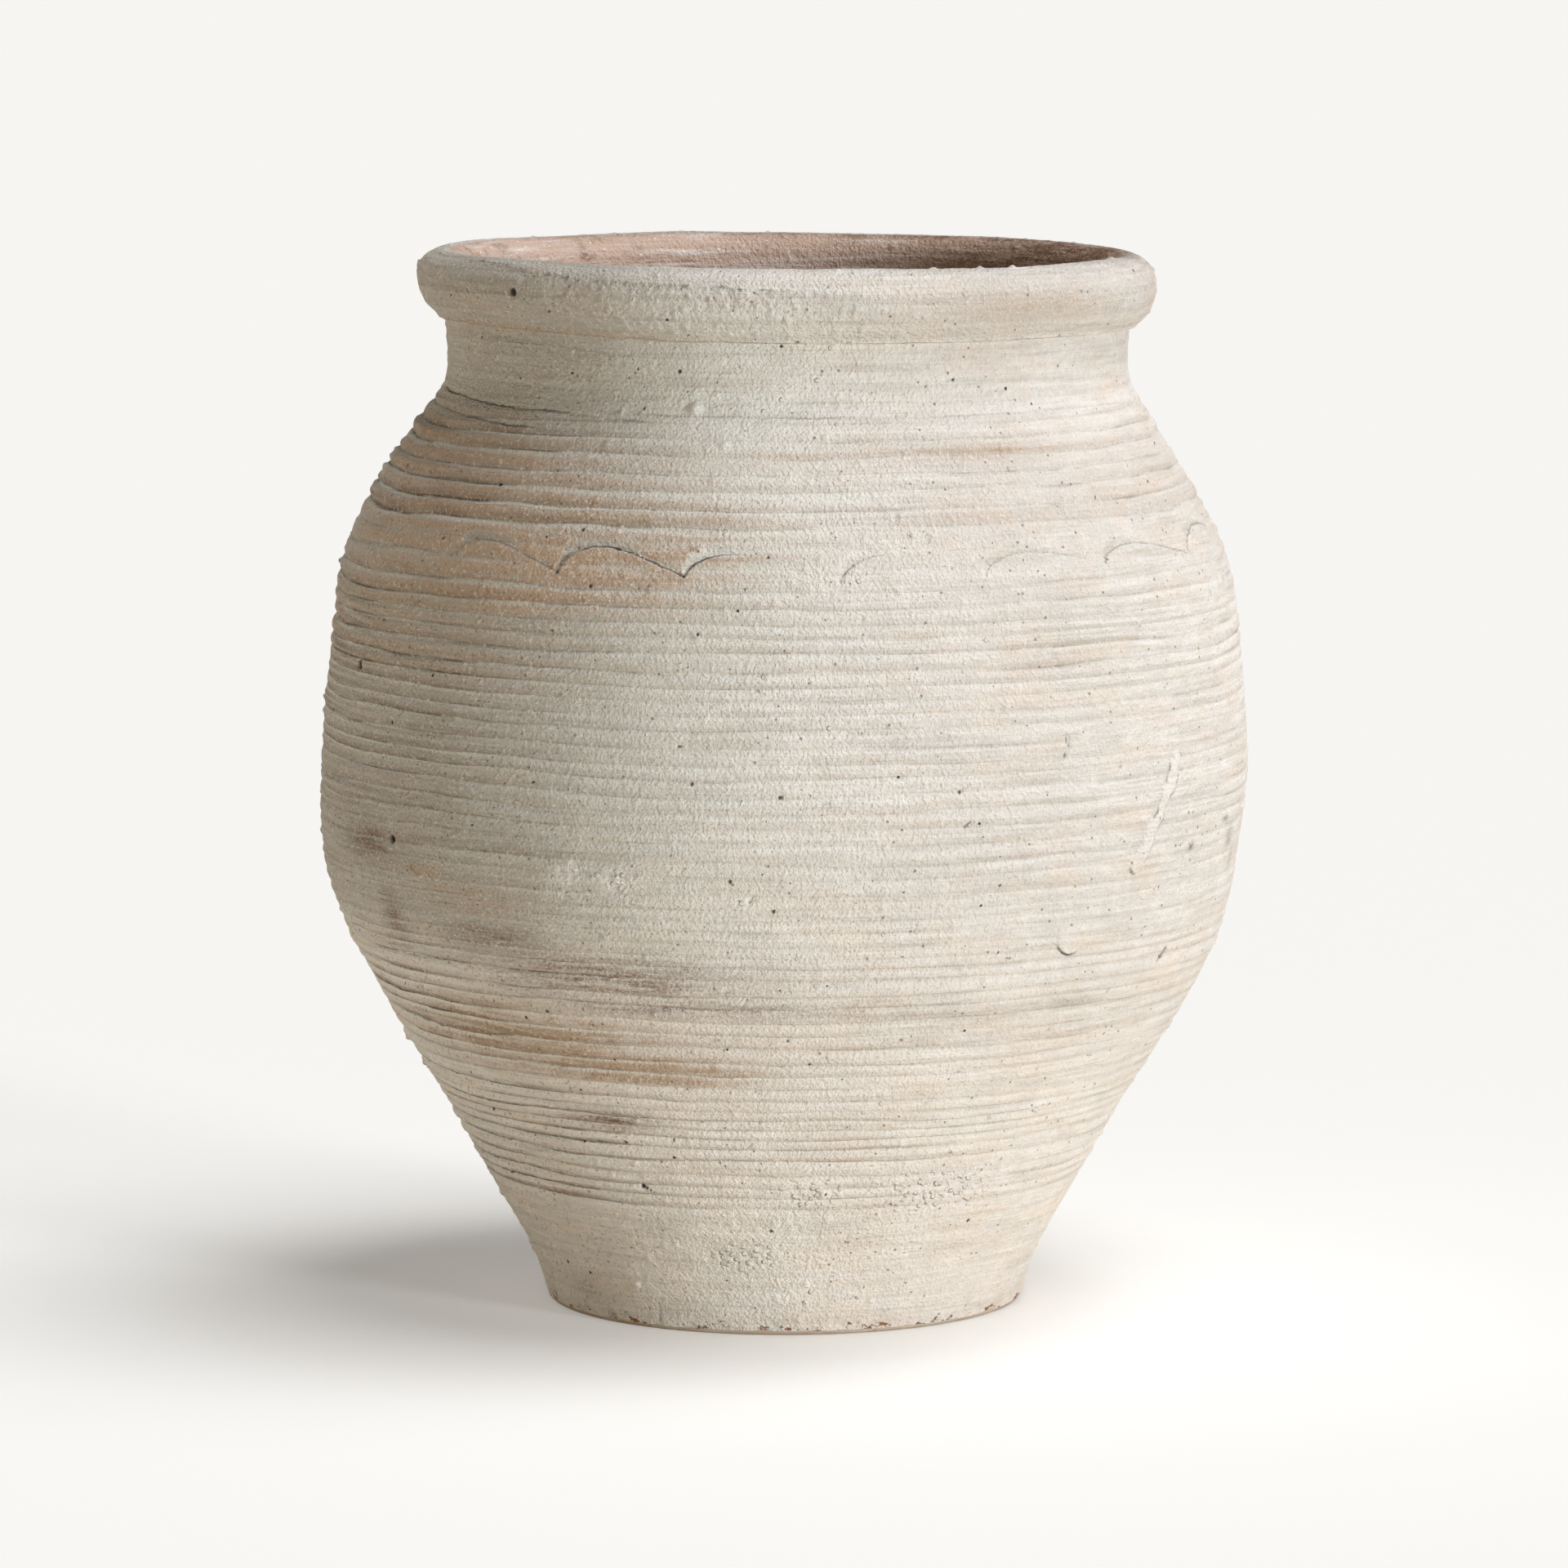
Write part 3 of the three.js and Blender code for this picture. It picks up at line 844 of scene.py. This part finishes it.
def grid_faces(rows, closed):
    """Four-sided faces of a grid that closes round the axis and, for a ring, round its section too."""
    low = np.arange(rows if closed else rows - 1)
    high = (low + 1) % rows
    left = np.arange(COLUMNS)
    right = (left + 1) % COLUMNS
    corners = [(low, left), (low, right), (high, right), (high, left)]
    return np.stack([r[:, None] * COLUMNS + c for r, c in corners], axis=-1).reshape(-1, 4)


def add_attribute(mesh, name, values):
    """A number on each point that the materials read."""
    made = mesh.attributes.new(name, "FLOAT", "POINT")
    made.data.foreach_set("value", np.ascontiguousarray(values, np.float32).ravel())


def unwrap(mesh, faces, points, caps):
    """A map for baking: once round the axis across, along the section upwards."""
    step = np.linalg.norm(np.diff(points[:, 0], axis=0, append=points[:1, 0]), axis=1)
    up = np.concatenate(([0], np.cumsum(step))) / step.sum()
    row, column = faces // COLUMNS, faces % COLUMNS
    across = column / COLUMNS
    across[:, 1:3] = across[:, :1] + 1 / COLUMNS
    along = up[row]
    along[:, 2:] = up[row[:, :1] + 1]
    corners = np.stack([across, along], axis=-1).reshape(-1, 2)
    for cap in caps:
        flat = np.stack([cap % COLUMNS / COLUMNS, up[cap // COLUMNS]], axis=-1)
        corners = np.concatenate([corners, flat])
    layer = mesh.uv_layers.new(name="OFBake")
    layer.data.foreach_set("uv", corners.astype(np.float32).ravel())


def make_piece(name, sheets, material, closed=True):
    """One visible piece in place of the CAD node of that name: a ring, or if not closed a capped disc."""
    points = piece_points(sheets)
    rows = len(points)
    faces = grid_faces(rows, closed)
    first = np.arange(COLUMNS)[::-1]
    last = np.arange(COLUMNS) + (rows - 1) * COLUMNS
    caps = [] if closed else [first, last]
    corners = np.concatenate([faces.ravel(), *caps])
    starts = np.concatenate([np.arange(0, faces.size, 4), faces.size + COLUMNS * np.arange(len(caps))])
    mesh = bpy.data.meshes.new(name)
    mesh.vertices.add(rows * COLUMNS)
    mesh.vertices.foreach_set("co", points.astype(np.float32).ravel())
    mesh.loops.add(len(corners))
    mesh.loops.foreach_set("vertex_index", corners.astype(np.int32))
    mesh.polygons.add(len(starts))
    mesh.polygons.foreach_set("loop_start", starts.astype(np.int32))
    mesh.update(calc_edges=True)
    for field in ("relief", "turn", "crease"):
        add_attribute(mesh, field, np.concatenate([getattr(s, field) for s in sheets]))
    for mark in MARKS:
        add_attribute(mesh, mark, np.concatenate([s.marks[mark] for s in sheets]))
    unwrap(mesh, faces, points, caps)
    mesh.shade_smooth()
    mesh.set_sharp_from_angle(angle=math.radians(SHARP_ANGLE))
    mesh.materials.append(material)
    mesh.validate()
    piece = bpy.data.objects.new(name + "_skin", mesh)
    bpy.context.collection.objects.link(piece)
    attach(piece, "root")
    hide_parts(name)


# Node settings: how far spots are torn out of round, the clay's shine, and powers that warm its shade.
SPOT_RAGGED = 0.075
CLAY_SPECULAR = 0.25
SHADE_GREEN = 1.02
SHADE_BLUE = 1.09


class Tree:
    """Short ways to add nodes to a new material or world."""

    def __init__(self, owner):
        self.owner = owner
        self.owner.use_nodes = True
        self.tree = self.owner.node_tree
        self.tree.nodes.clear()

    def add(self, kind, inputs=(), output=0, **settings):
        node = self.tree.nodes.new(kind)
        for key, value in settings.items():
            setattr(node, key, value)
        for key, value in dict(inputs).items():
            if isinstance(value, bpy.types.NodeSocket):
                self.tree.links.new(value, node.inputs[key])
            else:
                node.inputs[key].default_value = value
        return node.outputs[output] if node.outputs else None

    def attribute(self, name):
        return self.add("ShaderNodeAttribute", output="Fac", attribute_name=name)

    def math(self, operation, a, b=0.0, clamp=False, third=0.0):
        return self.add("ShaderNodeMath", {0: a, 1: b, 2: third}, operation=operation, use_clamp=clamp)

    def times(self, product, *others):
        """Product of two or more values."""
        for other in others:
            product = self.math("MULTIPLY", product, other)
        return product

    def ramp(self, value, low, high, start=0.0, end=1.0):
        inputs = {"Value": value, "From Min": low, "From Max": high, "To Min": start, "To Max": end}
        return self.add("ShaderNodeMapRange", inputs, interpolation_type="SMOOTHSTEP")

    def mix(self, share, a, b, blend="MIX"):
        inputs = {0: share, 6: a, 7: b}
        return self.add("ShaderNodeMix", inputs, 2, data_type="RGBA", blend_type=blend, clamp_factor=True)

    def layers(self, base, coats):
        """Coats of colour over a base, one after another: the share that each covers, and its colour."""
        for share, coat in coats:
            base = self.mix(share, base, coat)
        return base

    def seen(self):
        """1 for what the camera sees, straight or by a mirror or glass, and 0 for other light."""
        path = self.add("ShaderNodeLightPath").node.outputs
        mirrored = self.math("MAXIMUM", path["Is Glossy Ray"], path["Is Transmission Ray"])
        return self.math("MAXIMUM", path["Is Camera Ray"], mirrored)

    def place(self, size, stretch=1.0):
        """Places on the vase in units of a size in millimetres, stretched round the wall."""
        coordinates = self.add("ShaderNodeTexCoord", output="Object")
        scale = 1 / (size * MM)
        inputs = {"Vector": coordinates, "Scale": (scale / stretch, scale / stretch, scale)}
        if stretch == 1:
            inputs["Rotation"] = TILT_ANGLES
        return self.add("ShaderNodeMapping", inputs)

    def noise(self, size, stretch=1.0, detail=3.0, roughness=0.55):
        """Noise with features of a size in millimetres, stretched round the wall."""
        inputs = {"Vector": self.place(size, stretch), "Scale": 1.0}
        inputs.update({"Detail": detail, "Roughness": roughness})
        return self.add("ShaderNodeTexNoise", inputs)

    def spots(self, size, share, widest, softness):
        """Ragged spots of many sizes in a share of the cells of a random pattern."""
        place = self.place(size)
        shift = self.add("ShaderNodeTexNoise", {"Vector": place, "Scale": 7.0}, "Color")
        moved = self.add("ShaderNodeVectorMath", {0: place, 1: shift}, operation="ADD")
        place = self.add("ShaderNodeMix", {0: SPOT_RAGGED, 4: place, 5: moved}, 1, data_type="VECTOR")
        cells = self.add("ShaderNodeTexVoronoi", {"Vector": place, "Scale": 1.0}, "Color")
        pick = self.add("ShaderNodeSeparateColor", {0: cells})
        reach = self.ramp(pick, 1 - share, 1.0, 0.0, widest)
        gap = self.math("SUBTRACT", reach, cells.node.outputs["Distance"])
        return self.ramp(gap, 0.0, softness)

    def finish(self, base, rough, height, distance):
        """Principled clay from colour, roughness and bump height."""
        normal = self.add("ShaderNodeBump", {"Height": height, "Distance": distance, "Strength": 1.0})
        inputs = {"Base Color": base, "Roughness": rough, "Normal": normal}
        inputs["Specular IOR Level"] = CLAY_SPECULAR
        shader = self.add("ShaderNodeBsdfPrincipled", inputs)
        self.add("ShaderNodeOutputMaterial", {"Surface": shader})
        return self.owner


def ridge_line(tree):
    """Throwing ridges, from the turn number on the points: dark creases, bare lower faces and pale tops;
    partly grime, clay and wash, partly painted shade under each ridge and painted highlight on its top.
    """
    turn = tree.attribute("turn")
    part = tree.math("FRACT", turn)
    side = tree.math("MINIMUM", part, tree.math("SUBTRACT", 1.0, part))
    strength = tree.add("ShaderNodeTexWhiteNoise", {"W": tree.math("ROUND", turn)}, noise_dimensions="1D")
    shows = tree.times(tree.attribute("line"), tree.ramp(strength, 0.0, 0.6, 0.5, 1.0))
    broken = tree.ramp(tree.noise(7, 6, 5, 0.65), 0.4, 0.58)
    ridge_crease_dirt_and_shade = tree.times(tree.ramp(side, 0.08, 0.015), broken, shows)
    patchy = tree.times(tree.ramp(tree.noise(5, 5, 5, 0.7), 0.34, 0.6, 0.5, 1.0), shows)
    bare = tree.times(tree.ramp(part, 0.62, 0.06), tree.ramp(part, -0.02, 0.03), patchy)
    pale = tree.times(tree.ramp(part, 0.66, 0.86), tree.ramp(part, 1.0, 0.94), patchy)
    return ridge_crease_dirt_and_shade, bare, pale


def crease_line(tree):
    """Seams, cuts and edges, from the distance noted on the points: a fine line, and a sharp step at it."""
    gap = tree.attribute("crease")
    shows = tree.attribute("shows")
    width = tree.ramp(tree.noise(2.5, 1, 4, 0.6), 0.3, 0.7, 0.4, 1.1)
    line = tree.ramp(tree.math("DIVIDE", tree.math("ABSOLUTE", gap), width), 1.0, 0.35)
    step = tree.ramp(gap, -0.35, 0.35)
    return tree.times(line, shows), tree.times(step, shows)


def grit_grains(tree):
    """Coarse crumbs in the rough patches."""
    inputs = {"Vector": tree.place(2.8), "Scale": 1.0, "Randomness": 1.0}
    cells = tree.add("ShaderNodeTexVoronoi", inputs, "Color")
    pick = tree.ramp(tree.add("ShaderNodeSeparateColor", {0: cells}), 0.35, 0.6)
    grain = tree.ramp(cells.node.outputs["Distance"], 0.62, 0.25)
    return tree.times(grain, pick, tree.attribute("grit"))


def weighted(tree, parts):
    """Sum of values, each times its weight."""
    total = 0.0
    for value, weight in parts:
        total = tree.math("MULTIPLY_ADD", value, weight, third=total)
    return total


def wash_coat(tree, relief, broad, streak, brushed, blotch):
    """The pale wash: dull in hollows, tan in patches and streaks, and lightened or darkened by streaks,
    brush marks, blotches and the wash mark, which holds painted light and shade as well as grime.
    """
    hollow = tree.ramp(relief, 0.3, -0.7, 0.0, 0.75)
    wash = tree.layers(WASH_WARM, (
        (tree.math("MULTIPLY_ADD", broad, 0.4, third=hollow), WASH_DULL),
        (tree.ramp(tree.noise(14, 3, 5, 0.65), 0.45, 0.65, 0.0, 0.6), WASH_TAN),
        (tree.times(tree.attribute("cool"), 0.7), WASH_COOL_AND_HIGHLIGHT),
        (tree.ramp(streak, 0.48, 0.28, 0.0, 0.22), TAN_CLAY),
    ))
    # shade takes painted light and shade from the wash mark, besides streaks, brush marks and blotches.
    shade = tree.times(
        tree.ramp(streak, 0.3, 0.75, 0.97, 1.05),
        tree.attribute("wash"),
        tree.ramp(brushed, 0.3, 0.7, 0.93, 1.04),
        tree.ramp(blotch, 0.3, 0.7, 0.92, 1.04),
    )
    green = tree.math("POWER", shade, SHADE_GREEN)
    blue = tree.math("POWER", shade, SHADE_BLUE)
    warm_shade = tree.add("ShaderNodeCombineColor", {0: shade, 1: green, 2: blue})
    return tree.mix(1.0, wash, warm_shade, "MULTIPLY")


def tan_share(tree, relief, cloud, streak, blotch):
    """Where tan clay shows through the wash."""
    share = tree.math("ADD", tree.attribute("tan"), tree.ramp(cloud, 0.5, 0.8, 0.0, 0.3))
    share = tree.times(share, tree.ramp(streak, 0.3, 0.62, 0.35, 1.0))
    share = tree.times(share, tree.ramp(blotch, 0.3, 0.6, 0.6, 1.1))
    return tree.math("MULTIPLY", share, tree.ramp(relief, -0.5, 0.7, 0.3, 1.2), clamp=True)


def pink_inside(tree, streak, brushed, blotch, stain_and_shade):
    """The bare inside: pink clay with brown blotches, lime spots and pale streaks."""
    return tree.layers(PINK_CLAY, (
        (tree.ramp(streak, 0.35, 0.7, 0.0, 0.5), TAN_CLAY),
        (tree.ramp(blotch, 0.5, 0.7, 0.0, 0.6), BROWN_STAIN_AND_SHADE),
        (tree.ramp(brushed, 0.5, 0.75, 0.0, 0.35), WASH_DULL),
        (tree.times(tree.spots(3.4, 0.6, 0.26, 0.1), 0.8), LIME_SPOT),
        (tree.ramp(tree.noise(3.5, 18, 5, 0.65), 0.5, 0.7, 0.0, 0.6), LIME_SPOT),
        # Stains, and the painted shade inside the mouth at the right.
        (tree.times(stain_and_shade, 0.8), BROWN_STAIN_AND_SHADE),
    ))


def limewashed_clay():
    """Pale wash over tan clay, streaked round the wall; on the ridges, bare lower faces, pale tops and dark
    creases that are partly wear and grime and partly painted shade and highlight.
    """
    tree = Tree(bpy.data.materials.new("limewashed_clay"))
    relief = tree.attribute("relief")
    streak = tree.noise(3.0, 24, 5, 0.62)
    brushed = tree.noise(1.1, 40, 3, 0.6)
    broad = tree.noise(26, 3, 4, 0.6)
    cloud = tree.noise(70, 1.6, 3)
    blotch = tree.noise(9, 1.5, 5, 0.7)
    sand = tree.noise(1.7, 1, 1.5, 0.6)
    fine = tree.noise(0.6, 1, 2)
    ridge_crease_dirt_and_shade, bare, pale = ridge_line(tree)
    crease, step = crease_line(tree)
    lumps = tree.times(tree.spots(7.5, 0.4, 0.2, 0.09), tree.ramp(blotch, 0.42, 0.6))
    pits = tree.spots(15, 0.5, 0.065, 0.018)
    flecks = tree.spots(4, 0.45, 0.2, 0.06)
    grit = grit_grains(tree)
    chip = tree.times(tree.attribute("chip"), tree.ramp(tree.noise(5, 1.6, 5, 0.7), 0.46, 0.74))
    chip = tree.ramp(chip, 0.3, 0.42)
    speckle = tree.ramp(tree.noise(1.5, 1.6, 4, 0.8), 0.36, 0.64, 0.5, 1.1)
    smear = tree.ramp(tree.noise(2.6, 10, 5, 0.65), 0.36, 0.62, 0.45, 1.1)
    stain_and_shade = tree.times(tree.attribute("stain_and_shade"), speckle, smear)
    # Dark sand specks, partly dirt and partly painted shade: strongest where worn is high, on the shaded
    # left.
    sand_dirt_and_shade = tree.times(
        tree.ramp(sand, 0.44, 0.28),
        tree.ramp(blotch, 0.4, 0.6, 0.2, 1.0),
        tree.ramp(tree.attribute("worn"), 0.25, 0.75, 0.15, 0.6),
    )
    clay = tree.layers(wash_coat(tree, relief, broad, streak, brushed, blotch), (
        (tan_share(tree, relief, cloud, streak, blotch), TAN_CLAY),
        (tree.times(stain_and_shade, 0.85), BROWN_STAIN_AND_SHADE),
        # Painted shade on the ridges' lower faces and in their creases, and painted highlight on their
        # tops, over bare clay, dirt and wash.
        (bare, BARE_CLAY_AND_SHADE),
        (tree.times(pale, 0.95), WASH_COOL_AND_HIGHLIGHT),
        (tree.times(ridge_crease_dirt_and_shade, 0.95), RIDGE_DIRT_AND_SHADE),
        (tree.times(crease, 0.85), CREASE_DIRT),
        (sand_dirt_and_shade, SAND_BROWN),
        (tree.ramp(sand, 0.56, 0.72, 0.0, 0.5), LIME_SPOT),
        (tree.times(lumps, 0.45), LIME_SPOT),
        (tree.times(tree.attribute("grit"), 0.4), WASH_WARM),
        (tree.times(grit, 0.8), LIME_SPOT),
        (tree.times(flecks, 0.6), DIRT),
        (tree.times(pits, 0.9), PIT_BLACK),
        (tree.ramp(tree.attribute("pit"), 0.25, 0.85, 0.0, 0.95), PIT_BLACK),
        (chip, RED_CLAY),
    ))
    pink = pink_inside(tree, streak, brushed, blotch, stain_and_shade)
    base = tree.mix(tree.attribute("inner"), clay, pink)
    height = weighted(tree, (
        (sand, 1.4), (fine, 0.3), (streak, 0.5), (brushed, 0.4), (blotch, 1.0), (lumps, 1.0), (grit, 1.4),
        (ridge_crease_dirt_and_shade, -0.5), (crease, -0.6), (step, -0.7), (pits, -1.0), (flecks, -0.5), (chip, -0.8),
    ))
    return tree.finish(base, tree.ramp(broad, 0.3, 0.7, 0.86, 0.96), height, MM)


def bare_clay():
    """The slab: pale yellow clay with rubbed red flaws."""
    tree = Tree(bpy.data.materials.new("bare_clay"))
    broad = tree.noise(14, 2, 4, 0.6)
    sand = tree.noise(1.2, 1, 3)
    clay = tree.layers(SLAB_CLAY, (
        (tree.ramp(broad, 0.35, 0.7, 0.0, 0.7), TAN_CLAY),
        (tree.ramp(tree.noise(6, 3, 5, 0.7), 0.6, 0.72, 0.0, 0.7), RED_CLAY),
        (tree.ramp(sand, 0.6, 0.75, 0.0, 0.3), DIRT),
    ))
    return tree.finish(clay, tree.ramp(broad, 0.3, 0.7, 0.85, 0.95), sand, 0.4 * MM)


# Studio: a pale floor that runs out of sight, the photograph's camera, and suns, most from the right.
# Each sun: degrees round the vase and up from the floor, strength, spread in degrees, and tint.
PLAIN_WHITE = (1.0, 1.0, 1.0)
COOL_WHITE = (0.97, 0.98, 1.0)
WARM_WHITE = (1.0, 0.89, 0.69)
LIGHTS = {
    "low_key": (47, 7, 1.85, 12, COOL_WHITE),
    "top_light": (66, 70, 1.58, 42, PLAIN_WHITE),
    "back_light": (112, 66, 0.6, 28, PLAIN_WHITE),
    "front_fill": (8, 12, 0.15, 30, WARM_WHITE),
    "left_fill": (-88, 3, 0.75, 20, WARM_WHITE),
}
SKY = colour(255, 236, 205)
SKY_STRENGTH = 0.04
FLOOR_HALF_SIZE = 90
FLOOR_PAPER = (0.87, 0.866, 0.852, 1)
FLOOR_GLOW = (0.245, 0.245, 0.245, 1)
FLOOR_BOUNCE = (0.92, 0.86, 0.74, 1)
CAMERA_PLACE = (-0.0003, -3.9004, 0.7249)
CAMERA_PITCH = 6.86
CAMERA_LENS = 181.5
CAMERA_FAR = 500


def add_sun(name, turn, up, strength, spread, tint):
    """A sun lamp that stands at an angle round the vase and up from the floor."""
    lamp = bpy.data.lights.new(name, "SUN")
    lamp.energy = strength
    lamp.angle = math.radians(spread)
    lamp.color = tint
    sun = bpy.data.objects.new(name, lamp)
    turn, up = math.radians(turn), math.radians(up)
    towards = Vector((math.sin(turn) * math.cos(up), -math.cos(turn) * math.cos(up), math.sin(up)))
    sun.rotation_euler = towards.to_track_quat("Z", "Y").to_euler()
    bpy.context.collection.objects.link(sun)


def set_world():
    """Soft light from all round; the camera sees plain paper behind the floor."""
    tree = Tree(bpy.data.worlds.new("studio"))
    light = tree.add("ShaderNodeBackground", {"Color": SKY, "Strength": SKY_STRENGTH})
    paper = tree.add("ShaderNodeBackground", {"Color": PAPER})
    either = tree.add("ShaderNodeMixShader", {0: tree.seen(), 1: light, 2: paper})
    tree.add("ShaderNodeOutputWorld", {"Surface": either})
    bpy.context.scene.world = tree.owner


def add_floor():
    """A wide sheet of pale paper that takes the vase's shadow."""
    tree = Tree(bpy.data.materials.new("paper_floor"))
    paper = tree.add("ShaderNodeBsdfDiffuse", {"Color": FLOOR_PAPER})
    glow = tree.add("ShaderNodeEmission", {"Color": FLOOR_GLOW})
    shown = tree.add("ShaderNodeAddShader", {0: paper, 1: glow})
    bounce = tree.add("ShaderNodeBsdfDiffuse", {"Color": FLOOR_BOUNCE})
    either = tree.add("ShaderNodeMixShader", {0: tree.seen(), 1: bounce, 2: shown})
    tree.add("ShaderNodeOutputMaterial", {"Surface": either})
    half = FLOOR_HALF_SIZE
    corners = [(-half, -half, 0), (half, -half, 0), (half, half, 0), (-half, half, 0)]
    mesh = bpy.data.meshes.new("floor")
    mesh.from_pydata(corners, [], [(0, 1, 2, 3)])
    mesh.materials.append(tree.owner)
    floor = bpy.data.objects.new("floor", mesh)
    bpy.context.collection.objects.link(floor)


def add_camera():
    """The camera at the photograph's angle: from the front, a little above the rim."""
    camera = bpy.data.cameras.new("camera")
    camera.lens = CAMERA_LENS
    camera.clip_end = CAMERA_FAR
    holder = bpy.data.objects.new("camera", camera)
    holder.location = CAMERA_PLACE
    holder.rotation_euler = (math.radians(90 - CAMERA_PITCH), 0, 0)
    bpy.context.collection.objects.link(holder)
    bpy.context.scene.camera = holder


def build_vase():
    """Every piece of the vase, from the floor up."""
    washed = limewashed_clay()
    make_piece("base_slab", [slab_sheet()], bare_clay(), closed=False)
    rings = {
        "foot_wall": (LEDGE, FOOT_JOINT),
        "lower_wall": (FOOT_JOINT, BELLY_JOINT),
        "belly_wall": (BELLY_JOINT, SHOULDER_JOINT),
        "shoulder_wall": (SHOULDER_JOINT, NECK_JOINT),
        "neck_collar": (NECK_JOINT, RIM_JOINT),
    }
    for name, joints in rings.items():
        sheets = [dress_outside(outside_sheet(*joints)), dress_inside(inside_sheet(*joints))]
        make_piece(name, sheets, washed)
    make_piece("rim_roll", [dress_rim(rim_sheet())], washed)


build_vase()
for lamp_name, lamp_setting in LIGHTS.items():
    add_sun(lamp_name, *lamp_setting)
set_world()
add_floor()
add_camera()
bpy.context.scene.view_settings.view_transform = "Standard"
